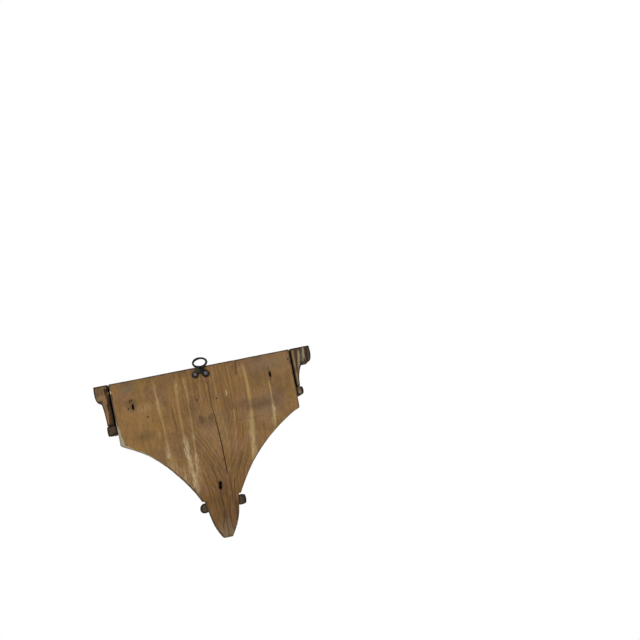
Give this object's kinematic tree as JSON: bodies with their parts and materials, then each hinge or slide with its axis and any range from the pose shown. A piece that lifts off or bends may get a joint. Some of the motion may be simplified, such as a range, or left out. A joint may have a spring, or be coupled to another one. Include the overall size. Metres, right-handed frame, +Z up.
{
  "type": "wooden corbel bracket",
  "caption": "Wooden wall corbel with a moulded three-sided shelf, a hollow-sided tapering body ending in a small bud, and a forged iron ring hanger on its back.",
  "frame": {"origin": "on the wall face of the body, on its centre line, in the middle of its straight-sided head", "axes": "+Z up, +Y out of the wall face towards the wall, -Y towards the front, X across"},
  "size_m": [0.3404, 0.176, 0.282],
  "materials": {
    "pine": "matte",
    "stained_pine": "matte",
    "iron": "satin"
  },
  "bodies": {
    "root": {"body": "pine", "crown_left": "stained_pine", "crown_front": "stained_pine", "crown_right": "stained_pine", "bead_left": "stained_pine", "bead_front": "stained_pine", "bead_right": "stained_pine", "neck_bead_left": "stained_pine", "neck_bead_front": "stained_pine", "neck_bead_right": "stained_pine", "hanger": "iron", "nail_left": "iron", "nail_right": "iron"}
  },
  "joints": []
}
